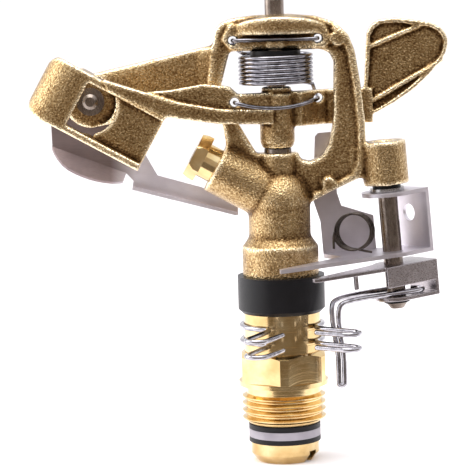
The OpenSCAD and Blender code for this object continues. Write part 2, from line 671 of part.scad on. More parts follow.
module shield_pin() {
    back = shield_front + sheet_t + face_gap;
    color("#9a9aa0") translate([-shield_reach, back, shield_z]) rotate([90, 0, 0]) {
        translate([0, 0, -1]) cylinder(d = 5.6, h = 1);
        translate([0, 0, -0.5]) cylinder(d = shield_pin_d, h = back - pad_front + 1.3);
        translate([0, 0, back - pad_front + 0.7]) cylinder(d = 3.9, h = 0.8);
        translate([0, 0, back - pad_front + 1.49]) cylinder(d1 = 3.9, d2 = 2.4, h = 0.5);
    }
}

// ---- trip mechanism ----

module trip_shaft() {
    color("#6f6357") along_shaft() {
        translate([0, 0, shaft_end - 0.5]) cylinder(d = shaft_d, h = boss_h / 2 - 1.5 - shaft_end);
        translate([0, 0, shaft_end - 1.5]) cylinder(d1 = shaft_d - 1.4, d2 = shaft_d + 0.6, h = 1.5);
    }
}

module trip_seal_ring() { color("#1b1b1d") along_shaft()
    ring(7, shaft_d, -boss_h / 2 - trip_washer_t, trip_washer_t); }
module trip_washer() {
    color("#c8ccd2") along_shaft() ring(8.6, shaft_d, ear_top + face_gap, trip_washer_t);
}
module shaft_end_washer() { color("#232224") along_shaft() ring(6.4, shaft_d, shaft_end, 0.7); }

// Ear with a round end about the shaft and a square end at the web
module ear(r, reach, z) {
    translate([0, 0, z]) linear_extrude(plate_t) {
        circle(r);
        translate([0, -r]) square([reach, 2 * r]);
    }
}

module shaft_hole() { translate([0, 0, shaft_end - 5]) cylinder(d = shaft_d + 2 * run, h = 60); }

module trip_bracket() {
    web_top = ear_top;
    foot = bracket_low - plate_t;
    color("#b4b6bc") along_shaft() difference() {
        union() {
            rotate(bracket_turn) {
                ear(ear_r, web_reach, ear_top - plate_t);
                ear(ear_r, web_reach, foot);
                translate([web_reach - plate_t, -ear_r, foot]) cube([plate_t, 2 * ear_r, web_top - foot]);
            }
            // Foot plate that runs to a long tapered blade in front of the body
            translate([0, 0, foot]) linear_extrude(plate_t)
                polygon([[1, 6], [-4, 7.9], [-17, 7.9], [-17, 5.5],
                [-12.6, -2.6], [-28.6, -14.6], [-28.4, -16.2], [-14, -11.6], [1, -6.2]]);
            // Upright flange and finger that reach up behind the yoke
            translate([0, 0, foot]) upright([[-17, 0], [-3.6, 0], [-3.6, 9.4], [-11.4, 12.6], [-12.2, 16],
                [-11.6, 30.6],
                [-12.4, 31.4], [-15.6, 31.4], [-16.4, 30.6], [-18.4, 15], [-17, 9]], 7, 7 + 0.9 * plate_t);
        }
        shaft_hole();
        rotate(bracket_turn) translate([web_reach + 1, 0.6, ear_top - 6.4]) rotate([0, -90, 0])
            cylinder(d = 4.3, h = 4);
    }
}

module trip_lever() {
    r = 5.4;
    web = 9.6;
    foot = lever_low - plate_t;
    color("#a9a9ae") along_shaft() difference() {
        rotate(lever_turn) {
            ear(r, web, lever_top - plate_t);
            ear(r, web, foot);
            // End web, and the front web that stops short of the trip wire
            translate([web - plate_t, -r, foot]) cube([plate_t, 2 * r, lever_top - foot]);
            translate([-6.2, -r, lever_top - 5.2]) cube([web + 6.2, plate_t, 5.2]);
            // Long strip to the front, with a small tab bent down from its edge
            translate([0, 0, lever_top - plate_t]) linear_extrude(plate_t)
                polygon([[2, 5.2], [-8, 2.8], [-24.4, 0.6],
                [-25.2, 0], [-25.2, -0.9], [-24.4, -1.5], [-8, -4.6], [2, -5.4]]);
            translate([-14.4, -2.9, lever_top - 4.4]) cube([plate_t, 0.8, 4]);
        }
        shaft_hole();
    }
}

// Hairpin that straddles the shaft, runs forwards and turns down past the stop clips
module trip_wire() {
    top = trip_z + lever_low + trip_wire_d / 2 + 0.25;
    x = trip_reach + (trip_z - top) * tan(trip_tilt);
    knee = [14.2, -9.8];
    drop = seat_z + 0.6;
    gap = trip_wire_d + 0.1;
    front = [[x + 4.2, 3.8, top + 0.3], [x + 6.6, 2.6, top + 0.5], [x + 6.8, -0.4, top + 0.5],
        [x + 5, -2.4, top + 0.4],
        [x - 2, -4.4, top], [15.4, -9.8, top - 0.6], [13.6, -10.6, top - 2.2], [13.9, -10.2, drop + 13],
        [knee[0] + gap / 2, knee[1], drop + 8], [knee[0] + gap / 2, knee[1], drop + 0.9]];
    back = [[knee[0] - gap / 2, knee[1] + 0.1, drop + 0.9], [knee[0] - gap / 2, knee[1] + 0.1, drop + 8],
        [12.6, -8.8, drop + 13],
        [12, -7.6, top - 2.2], [13.2, -6.4, top - 0.5], [20, -1.4, top], [x - 2.4, 3.5, top + 0.1],
            [x + 1.4, 4.3, top + 0.2]];
    tip = [[knee[0] + gap / 2, knee[1], drop + 0.3], [knee[0], knee[1] + 0.05, drop],
        [knee[0] - gap / 2, knee[1] + 0.1, drop + 0.3]];
    color("#b9b3ad") wire(smooth(concat(front, tip, back)), trip_wire_d, 8);
}

// Over-centre spring between bracket and lever, seen end-on beside the shaft
module toggle_spring() {
    foot_z = trip_z + bracket_low;
    centre = [17.5, -8, foot_z + 5.9];
    r = 4.5;
    turns = 3.25;
    lean = 0.42;         // sideways step of each turn, from the coil's slant
    coil = [for (i = [0 : 24 * turns]) let (a = 180 + 15 * i)
        centre + [r * cos(a) + lean * i / 24, toggle_wire_d * 1.05 * i / 24, r * sin(a)]];
    left_leg = [centre + [-r, -0.1, -4], centre + [-r, 0, -1.2]];
    right_leg = [centre + [lean * turns + 0.6, turns * toggle_wire_d * 1.05, -r - 0.2], centre + [5, 2.4, -5.4]];
    color("#55504c") wire(concat(smooth(left_leg), coil, smooth(right_leg)), toggle_wire_d, 6);
}

inlet_nipple();
spindle_tube();
spindle_collar();
upper_seal();
slip_ring();
lower_seal();
thrust_washer();
bearing_spring();
dust_sleeve();
upper_stop_clip();
lower_stop_clip();
body_casting();
flow_vane();
nozzle();
fulcrum_pin();
hub_washer();
arm_bushing();
hammer_arm();
hammer_spring();
spring_seat();
splash_shield();
shield_pin();
shield_washer();
trip_shaft();
trip_seal_ring();
trip_washer();
trip_bracket();
trip_lever();
trip_wire();
toggle_spring();
shaft_end_washer();
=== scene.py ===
import math

import bmesh
import bpy
from mathutils import Matrix, Vector


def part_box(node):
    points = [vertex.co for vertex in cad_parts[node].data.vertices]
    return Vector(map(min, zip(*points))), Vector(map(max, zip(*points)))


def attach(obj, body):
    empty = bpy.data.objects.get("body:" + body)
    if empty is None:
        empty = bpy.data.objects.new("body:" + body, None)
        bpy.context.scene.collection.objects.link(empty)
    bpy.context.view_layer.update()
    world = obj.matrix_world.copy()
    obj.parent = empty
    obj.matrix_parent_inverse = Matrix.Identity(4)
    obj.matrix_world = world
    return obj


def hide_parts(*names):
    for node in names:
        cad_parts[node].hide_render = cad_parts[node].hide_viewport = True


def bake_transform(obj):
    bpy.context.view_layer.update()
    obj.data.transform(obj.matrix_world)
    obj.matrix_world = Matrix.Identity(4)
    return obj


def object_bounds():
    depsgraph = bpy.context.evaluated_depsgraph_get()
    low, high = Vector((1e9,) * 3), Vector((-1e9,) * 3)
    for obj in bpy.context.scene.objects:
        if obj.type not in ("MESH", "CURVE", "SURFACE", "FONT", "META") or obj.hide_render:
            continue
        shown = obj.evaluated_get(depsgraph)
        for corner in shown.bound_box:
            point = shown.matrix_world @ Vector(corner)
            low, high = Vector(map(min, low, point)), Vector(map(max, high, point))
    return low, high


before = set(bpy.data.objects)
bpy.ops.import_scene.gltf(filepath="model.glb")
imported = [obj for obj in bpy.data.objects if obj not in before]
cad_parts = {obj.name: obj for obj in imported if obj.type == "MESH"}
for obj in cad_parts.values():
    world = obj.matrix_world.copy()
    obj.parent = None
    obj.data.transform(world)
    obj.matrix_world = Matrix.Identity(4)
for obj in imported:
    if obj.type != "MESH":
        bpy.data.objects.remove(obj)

cad_low, cad_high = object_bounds()
MM = 0.001

# ---------------------------------------------------------------------------
# Body casting. Sand-cast brass: the socket, elbow, yoke, cap, fin and trip boss
# are one casting, shot-blasted and left raw, with soft edges that handling and
# tumbling have brightened, plus painted highlights on proud edges and painted shade in hollows.
# ---------------------------------------------------------------------------


def linear(hex_colour):
    """An sRGB hex colour as the linear values that a shader takes."""
    parts = [int(hex_colour[i:i + 2], 16) / 255 for i in (1, 3, 5)]
    return tuple(c / 12.92 if c <= 0.04045 else ((c + 0.055) / 1.055) ** 2.4 for c in parts) + (1.0,)


def add_node(material, kind, inputs=None, **settings):
    """Adds a node, sets its properties, and fills or links its inputs."""
    made = material.node_tree.nodes.new(kind)
    for key, value in settings.items():
        setattr(made, key, value)
    for key, value in (inputs or {}).items():
        if isinstance(value, bpy.types.NodeSocket):
            material.node_tree.links.new(value, made.inputs[key])
        else:
            made.inputs[key].default_value = value
    return made


def new_material(name):
    material = bpy.data.materials.new(name)
    material.use_nodes = True
    material.node_tree.nodes.clear()
    return material


def finish_material(material, shader):
    """Joins the shader to the material's output."""
    add_node(material, "ShaderNodeOutputMaterial", {"Surface": shader.outputs["BSDF"]})
    return material


def remap(material, value, low, high, to_low, to_high):
    """A value that runs low..high, mapped to to_low..to_high."""
    made = add_node(material, "ShaderNodeMapRange", {"Value": value, "From Min": low, "From Max": high,
                                                     "To Min": to_low, "To Max": to_high})
    return made.outputs["Result"]


def ramp(material, value, low, high, stops):
    """A value that runs low..high, coloured by stops of (place, hex colour)."""
    colours = add_node(material, "ShaderNodeValToRGB", {"Fac": remap(material, value, low, high, 0.0, 1.0)})
    elements = colours.color_ramp.elements
    while len(elements) < len(stops):
        elements.new(0.5)
    for element, (place, colour) in zip(elements, stops):
        element.position = place
        element.color = linear(colour)
    return colours.outputs["Color"]


def cast_brass(name):
    """Sand-cast brass: 0.5 mm blasted grain, bright where edges are tumbled with a painted highlight there,
    painted shade in hollows.
    """
    m = new_material(name)
    place = add_node(m, "ShaderNodeTexCoord").outputs["Object"]
    wear_sheen_and_shade = add_node(m, "ShaderNodeAttribute", attribute_name="wear_sheen_and_shade").outputs["Fac"]
    blotch = add_node(m, "ShaderNodeTexNoise", {"Vector": place, "Scale": 1 / (7 * MM), "Detail": 4.0,
                                                "Roughness": 0.6})
    grain = add_node(m, "ShaderNodeTexNoise", {"Vector": place, "Scale": 1 / (0.5 * MM), "Detail": 3.0,
                                               "Roughness": 0.65})
    sand = add_node(m, "ShaderNodeTexVoronoi", {"Vector": place, "Scale": 1 / (0.45 * MM)})
    uneven = add_node(m, "ShaderNodeMath", {0: blotch.outputs["Fac"], 1: 0.3}, operation="MULTIPLY")
    speckle = add_node(m, "ShaderNodeMath", {0: grain.outputs["Fac"], 1: 0.9}, operation="MULTIPLY")
    both = add_node(m, "ShaderNodeMath", {0: uneven.outputs[0], 1: speckle.outputs[0]}, operation="ADD")
    # The mask adds a painted highlight on proud edges, partly real edge wear, and painted shade in hollows.
    tone = add_node(m, "ShaderNodeMath", {0: both.outputs[0], 1: wear_sheen_and_shade}, operation="ADD")
    colour = ramp(m, tone.outputs[0], 0.3, 0.98,
                  [(0.0, "#382410"), (0.25, "#735737"), (0.45, "#a3865b"), (0.7, "#d0b68a"), (1.0, "#fbe9c4")])
    height = add_node(m, "ShaderNodeMath", {0: grain.outputs["Fac"], 1: sand.outputs["Distance"]},
                      operation="ADD")
    relief = add_node(m, "ShaderNodeBump", {"Height": height.outputs[0], "Strength": 0.85,
                                            "Distance": 0.14 * MM})
    shader = add_node(m, "ShaderNodeBsdfPrincipled", {
        "Base Color": colour, "Metallic": 1.0, "Roughness": remap(m, tone.outputs[0], 0.3, 0.9, 0.4, 0.2),
        "Normal": relief.outputs["Normal"]})
    return finish_material(m, shader)


def merged_copy(name, cad_node):
    """A copy of a CAD node's mesh, its loose triangles joined at their corners."""
    piece = bpy.data.objects.new(name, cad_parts[cad_node].data.copy())
    bpy.context.scene.collection.objects.link(piece)
    bm = bmesh.new()
    bm.from_mesh(piece.data)
    bmesh.ops.remove_doubles(bm, verts=bm.verts, dist=0.002 * MM)
    bmesh.ops.dissolve_degenerate(bm, dist=0.001 * MM, edges=bm.edges)
    bm.to_mesh(piece.data)
    bm.free()
    return piece


def apply_modifiers(piece):
    """Bakes the piece's modifiers into its own mesh."""
    bpy.context.view_layer.update()
    graph = bpy.context.evaluated_depsgraph_get()
    done = bpy.data.meshes.new_from_object(piece.evaluated_get(graph))
    piece.modifiers.clear()
    piece.data = done


def cast_skin(piece, grid, rounds=3):
    """Gives a merged copy the softened edges of a casting, and marks how proud each spot is, as a mask of
    painted highlight on proud spots and painted shade in hollows.
    """
    remesh = piece.modifiers.new("skin", "REMESH")
    remesh.mode = "VOXEL"
    remesh.voxel_size = grid
    apply_modifiers(piece)
    bm = bmesh.new()
    bm.from_mesh(piece.data)
    for _ in range(rounds):
        bmesh.ops.smooth_vert(bm, verts=bm.verts, factor=0.5, use_axis_x=True, use_axis_y=True, use_axis_z=True)
    bm.normal_update()
    proud = {}
    for v in bm.verts:
        around = [e.other_vert(v).co for e in v.link_edges]
        proud[v] = -(sum(around, Vector()) / len(around) - v.co).dot(v.normal) / grid
    for _ in range(rounds):
        proud = {v: (proud[v] + sum(proud[e.other_vert(v)] for e in v.link_edges) / len(v.link_edges)) / 2
                 for v in bm.verts}
    # Painted light: proud spots brighten the brass, partly edge wear and partly painted highlight; hollows
    # darken it, painted shade.
    gain, hollow, edge = 5.0, -0.3, 0.5
    values = [max(hollow, min(edge, proud[v] * gain)) for v in bm.verts]
    for face in bm.faces:
        face.smooth = True
    bm.to_mesh(piece.data)
    bm.free()
    piece.data.attributes.new("wear_sheen_and_shade", "FLOAT", "POINT").data.foreach_set("value", values)


def wear(piece, material):
    """Gives the piece that material and no other."""
    piece.data.materials.clear()
    piece.data.materials.append(material)


raw_casting = cast_brass("sand-cast brass, blasted")
casting = merged_copy("cast_body", "body_casting")
cast_skin(casting, 0.42 * MM)
wear(casting, raw_casting)
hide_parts("body_casting")
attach(casting, "head")

# ---------------------------------------------------------------------------
# Hammer arm. The same sand-cast brass: the hub on the fulcrum pin, the beam and
# the spoon in front, and the counterweight paddle behind.
# ---------------------------------------------------------------------------

arm = merged_copy("cast_hammer_arm", "hammer_arm")
cast_skin(arm, 0.32 * MM)
wear(arm, raw_casting)
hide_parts("hammer_arm")
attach(arm, "arm")

# ---------------------------------------------------------------------------
# Inlet nipple. Free-cutting brass bar, turned on a lathe and left bright, with
# fine tool marks round it; the thread is cut and the hexagon milled.
# ---------------------------------------------------------------------------


def turned_brass(name, roughness):
    """Free-cutting brass, turned bright: tool marks every 0.25 mm, drawn coarser than real so they show."""
    m = new_material(name)
    place = add_node(m, "ShaderNodeTexCoord").outputs["Object"]
    split = add_node(m, "ShaderNodeSeparateXYZ", {"Vector": place})
    flat = add_node(m, "ShaderNodeCombineXYZ", {"X": split.outputs["X"], "Y": split.outputs["Y"], "Z": 0.0})
    radius = add_node(m, "ShaderNodeVectorMath", {0: flat.outputs[0]}, operation="LENGTH")
    along = add_node(m, "ShaderNodeMath", {0: split.outputs["Z"], 1: radius.outputs["Value"]}, operation="ADD")
    marks = add_node(m, "ShaderNodeTexNoise", {"W": along.outputs[0], "Scale": 1 / (0.25 * MM),
                                               "Detail": 2.0}, noise_dimensions="1D")
    stain = add_node(m, "ShaderNodeTexNoise", {"Vector": place, "Scale": 1 / (5 * MM), "Detail": 3.0})
    colour = ramp(m, stain.outputs["Fac"], 0.3, 0.7, [(0.0, "#cbab74"), (0.5, "#ddc08b"), (1.0, "#ecd7a6")])
    relief = add_node(m, "ShaderNodeBump", {"Height": marks.outputs["Fac"], "Strength": 0.25,
                                            "Distance": 0.02 * MM})
    shader = add_node(m, "ShaderNodeBsdfPrincipled", {
        "Base Color": colour, "Metallic": 1.0,
        "Roughness": remap(m, marks.outputs["Fac"], 0.3, 0.7, roughness - 0.04, roughness + 0.1),
        "Normal": relief.outputs["Normal"]})
    return finish_material(m, shader)


bright_brass = turned_brass("turned brass, bright", 0.11)
wear(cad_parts["inlet_nipple"], bright_brass)

# ---------------------------------------------------------------------------
# Spindle. A turned brass tube that runs up through the nipple and carries the
# head; its slotted collar is screwed on below the seals and holds it in.
# ---------------------------------------------------------------------------

wear(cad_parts["spindle_tube"], bright_brass)
wear(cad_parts["spindle_collar"], bright_brass)

# ---------------------------------------------------------------------------
# Nozzle. Turned from brass hexagon bar, bored for the jet, and screwed into the
# barrel of the body casting.
# ---------------------------------------------------------------------------

wear(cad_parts["nozzle"], bright_brass)

# ---------------------------------------------------------------------------
# Seals. Two black rubber rings round the spindle with a pale grey low-friction
# ring between them, so that the head turns without leaking. The thrust washer and
# the trip's black ring are of the same two materials.
# ---------------------------------------------------------------------------


def moulded(name, dark, light, roughness, grain_mm):
    """Moulded rubber or plastic: a fine pebbled grain and slightly uneven tone."""
    m = new_material(name)
    place = add_node(m, "ShaderNodeTexCoord").outputs["Object"]
    grain = add_node(m, "ShaderNodeTexNoise", {"Vector": place, "Scale": 1 / (grain_mm * MM), "Detail": 3.0})
    cloud = add_node(m, "ShaderNodeTexNoise", {"Vector": place, "Scale": 1 / (6 * MM), "Detail": 2.0})
    relief = add_node(m, "ShaderNodeBump", {"Height": grain.outputs["Fac"], "Strength": 0.3,
                                            "Distance": 0.04 * MM})
    shader = add_node(m, "ShaderNodeBsdfPrincipled", {
        "Base Color": ramp(m, cloud.outputs["Fac"], 0.3, 0.7, [(0.0, dark), (1.0, light)]),
        "Roughness": remap(m, grain.outputs["Fac"], 0.3, 0.7, roughness - 0.06, roughness + 0.06),
        "Specular IOR Level": 0.3, "Normal": relief.outputs["Normal"]})
    return finish_material(m, shader)


black_rubber = moulded("black rubber seal", "#08080a", "#101013", 0.45, 0.3)
grey_ring = moulded("grey low-friction plastic", "#8f8a92", "#a7a2aa", 0.4, 0.4)
for cad_node in ("upper_seal", "lower_seal", "trip_seal_ring"):
    wear(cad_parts[cad_node], black_rubber)
for cad_node in ("slip_ring", "thrust_washer"):
    wear(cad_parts[cad_node], grey_ring)

# ---------------------------------------------------------------------------
# Dust sleeve and small plastic parts. The sleeve, the spring's seat, the hub's
# bushing and the end washer are black moulded plastic, pressed or slid into
# place; the vane in the waterway is white.
# ---------------------------------------------------------------------------

black_plastic = moulded("black moulded plastic", "#08070a", "#0f0e12", 0.4, 0.35)
white_plastic = moulded("white moulded plastic", "#cfcabf", "#e2ddd2", 0.4, 0.4)
for cad_node in ("dust_sleeve", "spring_seat", "arm_bushing", "shaft_end_washer"):
    wear(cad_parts[cad_node], black_plastic)
wear(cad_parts["flow_vane"], white_plastic)

# ---------------------------------------------------------------------------
# Fulcrum pin, trip shaft and shield pin. Ground steel rod, darkened in use; the
# pins are pressed or riveted into the casting and their washers ride on them.
# ---------------------------------------------------------------------------


def ground_steel(name, dark, light, roughness):
    """Ground steel rod: lengthwise streaks about 0.4 mm wide and a thin brown film."""
    m = new_material(name)
    place = add_node(m, "ShaderNodeTexCoord").outputs["Object"]
    stretch = add_node(m, "ShaderNodeMapping", {"Vector": place, "Scale": (1.0, 1.0, 0.12)})
    streak = add_node(m, "ShaderNodeTexNoise", {"Vector": stretch.outputs[0], "Scale": 1 / (0.4 * MM),
                                                "Detail": 3.0})
    film = add_node(m, "ShaderNodeTexNoise", {"Vector": place, "Scale": 1 / (4 * MM), "Detail": 3.0})
    relief = add_node(m, "ShaderNodeBump", {"Height": streak.outputs["Fac"], "Strength": 0.1,
                                            "Distance": 0.02 * MM})
    shader = add_node(m, "ShaderNodeBsdfPrincipled", {
        "Base Color": ramp(m, film.outputs["Fac"], 0.3, 0.7, [(0.0, dark), (1.0, light)]), "Metallic": 1.0,
        "Roughness": remap(m, streak.outputs["Fac"], 0.3, 0.7, roughness - 0.06, roughness + 0.1),
        "Normal": relief.outputs["Normal"]})
    return finish_material(m, shader)


pin_steel = ground_steel("ground steel, browned", "#6d6158", "#9a8f86", 0.26)
for cad_node in ("fulcrum_pin", "trip_shaft", "shield_pin", "hub_washer", "shield_washer"):
    wear(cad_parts[cad_node], pin_steel)

# ---------------------------------------------------------------------------
# Trip washer. Stamped from bright steel strip; it lies between the trip boss's
# black ring and the bracket's top ear.
# ---------------------------------------------------------------------------

wear(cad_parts["trip_washer"], ground_steel("stamped steel", "#8d8b8a", "#b5b4b4", 0.24))

# ---------------------------------------------------------------------------
# Splash shield. Cut and folded from bright stainless sheet, deburred, and pinned
# to the pad at the fin's end; its paler colour is painted light, its darker scoop painted shade.
# ---------------------------------------------------------------------------


def stainless_sheet(name, dark, light, roughness, shade_left_of=-1.0):
    """Bright rolled stainless, its grain lines drawn 0.3 mm apart so they show.

    Left of shade_left_of the sheet is darkened, painted shade, fading over 6 mm."""
    m = new_material(name)
    place = add_node(m, "ShaderNodeTexCoord").outputs["Object"]
    stretch = add_node(m, "ShaderNodeMapping", {"Vector": place, "Scale": (0.06, 1.0, 1.0)})
    grain = add_node(m, "ShaderNodeTexNoise", {"Vector": stretch.outputs[0], "Scale": 1 / (0.3 * MM),
                                               "Detail": 3.0})
    cloud = add_node(m, "ShaderNodeTexNoise", {"Vector": place, "Scale": 1 / (9 * MM), "Detail": 3.0})
    clean = ramp(m, cloud.outputs["Fac"], 0.3, 0.7, [(0.0, dark), (1.0, light)])
    across = add_node(m, "ShaderNodeSeparateXYZ", {"Vector": place})
    # Painted shade: the colour darkens left of shade_left_of.
    film = ramp(m, across.outputs["X"], shade_left_of - 6 * MM, shade_left_of, [(0.0, "#a0938e"), (1.0, "#ffffff")])
    shaded_colour = add_node(m, "ShaderNodeMix", {"Factor": 1.0, "A": clean, "B": film}, data_type="RGBA",
                      blend_type="MULTIPLY")
    relief = add_node(m, "ShaderNodeBump", {"Height": grain.outputs["Fac"], "Strength": 0.18,
                                            "Distance": 0.02 * MM})
    shader = add_node(m, "ShaderNodeBsdfPrincipled", {
        "Base Color": shaded_colour.outputs["Result"], "Metallic": 1.0,
        "Roughness": remap(m, grain.outputs["Fac"], 0.3, 0.7, roughness - 0.05, roughness + 0.08),
        "Normal": relief.outputs["Normal"]})
    return finish_material(m, shader)


def pressing(cad_node, body, sheet):
    """A sheet-metal piece: the CAD node's shape, its sharp edges rounded as a barrel finish leaves them."""
    piece = merged_copy(cad_node + "_deburred", cad_node)
    bm = bmesh.new()
    bm.from_mesh(piece.data)
    bmesh.ops.dissolve_limit(bm, angle_limit=math.radians(1), verts=bm.verts, edges=bm.edges)
    sharp = [e for e in bm.edges if len(e.link_faces) == 2 and e.calc_face_angle() > math.radians(35)]
    bmesh.ops.bevel(bm, geom=sharp, offset=0.22 * MM, offset_type="OFFSET", segments=2, profile=0.5,
                    affect="EDGES", clamp_overlap=True)
    bm.to_mesh(piece.data)
    bm.free()
    wear(piece, sheet)
    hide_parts(cad_node)
    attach(piece, body)


# Painted light and shade: a paler copy of the stainless sheet, with a darker scoop.
pressing("splash_shield", "shield",
         stainless_sheet("stainless sheet, paler, shaded scoop", "#dcd7df", "#f2eef5", 0.55, -36 * MM))

# ---------------------------------------------------------------------------
# Trip bracket. Folded stainless sheet that turns on the trip shaft: two ears, a
# web with a hole, a long finger, and a blade standing up behind.
# ---------------------------------------------------------------------------

pressing("trip_bracket", "bracket", stainless_sheet("stainless sheet, bright", "#c4bfc6", "#e0dbe2", 0.42))

# ---------------------------------------------------------------------------
# Trip lever. Folded stainless sheet below the bracket, turning on the same shaft;
# its sheet is given a darker colour than the bracket's, painted shade.
# ---------------------------------------------------------------------------

# Painted shade: a darker copy of the stainless sheet.
pressing("trip_lever", "lever", stainless_sheet("stainless sheet, painted shade", "#8e8789", "#bab4b7", 0.28))

# ---------------------------------------------------------------------------
# Bearing spring. Drawn stainless wire, coiled with open turns; it sits under the
# socket and pulls the collar up against the seals.
# ---------------------------------------------------------------------------


def drawn_wire(name, dark, light, roughness):
    """Drawn spring wire: smooth and bright, with a faint uneven film."""
    m = new_material(name)
    place = add_node(m, "ShaderNodeTexCoord").outputs["Object"]
    film = add_node(m, "ShaderNodeTexNoise", {"Vector": place, "Scale": 1 / (1.6 * MM), "Detail": 4.0})
    shader = add_node(m, "ShaderNodeBsdfPrincipled", {
        "Base Color": ramp(m, film.outputs["Fac"], 0.3, 0.7, [(0.0, dark), (1.0, light)]), "Metallic": 1.0,
        "Roughness": remap(m, film.outputs["Fac"], 0.3, 0.7, roughness - 0.04, roughness + 0.06)})
    return finish_material(m, shader)


bright_wire = drawn_wire("drawn stainless wire", "#929096", "#c9c7cd", 0.16)
wear(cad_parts["bearing_spring"], bright_wire)

# ---------------------------------------------------------------------------
# Stop clips. Two rings of drawn stainless wire, sprung into the nipple's grooves,
# each with a finger loop at both ends; the trip wire meets the loops.
# ---------------------------------------------------------------------------


def smooth_bends(points, rounds=3):
    """Cuts the corners of a bent line until it runs smoothly."""
    points = [Vector(p) for p in points]
    for _ in range(rounds):
        cut = [points[0]]
        for a, b in zip(points, points[1:]):
            cut += [a.lerp(b, 0.25), a.lerp(b, 0.75)]
        points = cut + [points[-1]]
    return points


def bent_wire(name, path_mm, diameter_mm, material, cad_node):
    """A round wire of that diameter along the path, closed at both ends."""
    curve = bpy.data.curves.new(name, "CURVE")
    curve.dimensions = "3D"
    curve.bevel_depth = diameter_mm / 2 * MM
    curve.bevel_resolution = 4
    curve.use_fill_caps = True
    line = curve.splines.new("POLY")
    line.points.add(len(path_mm) - 1)
    for point, place in zip(line.points, path_mm):
        point.co = (*(Vector(place) * MM), 1.0)
    draft = bpy.data.objects.new(name + "_draft", curve)
    bpy.context.scene.collection.objects.link(draft)
    bpy.context.view_layer.update()
    mesh = bpy.data.meshes.new_from_object(draft.evaluated_get(bpy.context.evaluated_depsgraph_get()))
    bpy.data.objects.remove(draft)
    bpy.data.curves.remove(curve)
    piece = bpy.data.objects.new(name, mesh)
    bpy.context.scene.collection.objects.link(piece)
    bm = bmesh.new()
    bm.from_mesh(mesh)
    bmesh.ops.remove_doubles(bm, verts=bm.verts, dist=0.002 * MM)
    for face in bm.faces:
        face.smooth = len(face.verts) == 4
    bm.to_mesh(mesh)
    bm.free()
    wear(piece, material)
    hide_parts(cad_node)
    return piece


clip_wire = 1.3
clip_ring = 10.15
loop_gap = 5.4


def heading(angle):
    """The level direction at that angle in degrees."""
    return Vector((math.cos(math.radians(angle)), math.sin(math.radians(angle)), 0))


def clip_loop(start, out_deg, turn_deg, reach):
    """A finger loop: out along the heading, round a half circle, and part of the way back."""
    out, over = heading(out_deg), heading(out_deg + turn_deg)
    end = start + out * reach
    bend = [end + (over + out * math.sin(math.radians(a)) - over * math.cos(math.radians(a))) * loop_gap / 2
            for a in range(30, 151, 15)]
    return [start + out * 2, end, *bend, end + over * loop_gap, end + over * loop_gap - out * reach * 0.6]


for level in ("upper", "lower"):
    low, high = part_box(level + "_stop_clip")
    height = (low.z + high.z) / 2 / MM
    path = clip_loop(heading(-49) * clip_ring, -35, -90, 13)[::-1]
    path += [heading(a) * clip_ring for a in range(-34, 252, 6)]
    path += clip_loop(heading(255) * clip_ring, -115, 90, 15)
    path = [p + Vector((0, 0, height)) for p in smooth_bends(path, 2)]
    clip = bent_wire(level + "_clip_wire", path, clip_wire, bright_wire, level + "_stop_clip")
    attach(clip, level + "_clip")

# ---------------------------------------------------------------------------
# Trip wire. A hairpin of drawn stainless wire that straddles the trip shaft
# inside the lever and turns down past the clips.
# ---------------------------------------------------------------------------

low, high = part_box("trip_wire")
trip_top, trip_foot = high.z / MM - 1.15, low.z / MM + 0.65
shaft_x = high.x / MM - 7.45
knee_x, knee_y, half_gap = 14.2, -9.8, 0.7
hairpin = [(shaft_x + 4.2, 3.8, trip_top + 0.3), (shaft_x + 6.6, 2.6, trip_top + 0.5),
           (shaft_x + 6.8, -0.4, trip_top + 0.5), (shaft_x + 5, -2.4, trip_top + 0.4),
           (shaft_x - 2, -4.4, trip_top), (15.4, -9.8, trip_top - 0.6), (13.6, -10.6, trip_top - 2.2),
           (13.9, -10.2, trip_foot + 13), (knee_x + half_gap, knee_y, trip_foot + 8),
           (knee_x + half_gap, knee_y, trip_foot + 0.9), (knee_x + half_gap, knee_y, trip_foot + 0.3),
           (knee_x, knee_y + 0.05, trip_foot), (knee_x - half_gap, knee_y + 0.1, trip_foot + 0.3),
           (knee_x - half_gap, knee_y + 0.1, trip_foot + 0.9), (knee_x - half_gap, knee_y + 0.1, trip_foot + 8),
           (12.6, -8.8, trip_foot + 13), (12, -7.6, trip_top - 2.2), (13.2, -6.4, trip_top - 0.5),
           (20, -1.4, trip_top), (shaft_x - 2.4, 3.5, trip_top + 0.1), (shaft_x + 1.4, 4.3, trip_top + 0.2)]
trip_wire = bent_wire("trip_hairpin", smooth_bends(hairpin), 1.3, bright_wire, "trip_wire")
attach(trip_wire, "lever")

# ---------------------------------------------------------------------------
# Hammer spring. Spring-steel wire in seven close turns round the fulcrum pin; its
# ends are laced through two holes in the yoke and two in the arm.
# ---------------------------------------------------------------------------


def coil(centre, radius, rise, turns, start_deg, along, axis, across=(1, 0, 0), steps=36):
    """A helix about an axis through centre, given its two cross directions and its rise a turn."""
    return [Vector(centre) + Vector(axis) * rise * (i / steps)
            + Vector(across) * radius * math.cos(math.radians(start_deg + 360 * i / steps))
            + Vector(along) * radius * math.sin(math.radians(start_deg + 360 * i / steps))
            for i in range(math.ceil(turns * steps) + 1)]


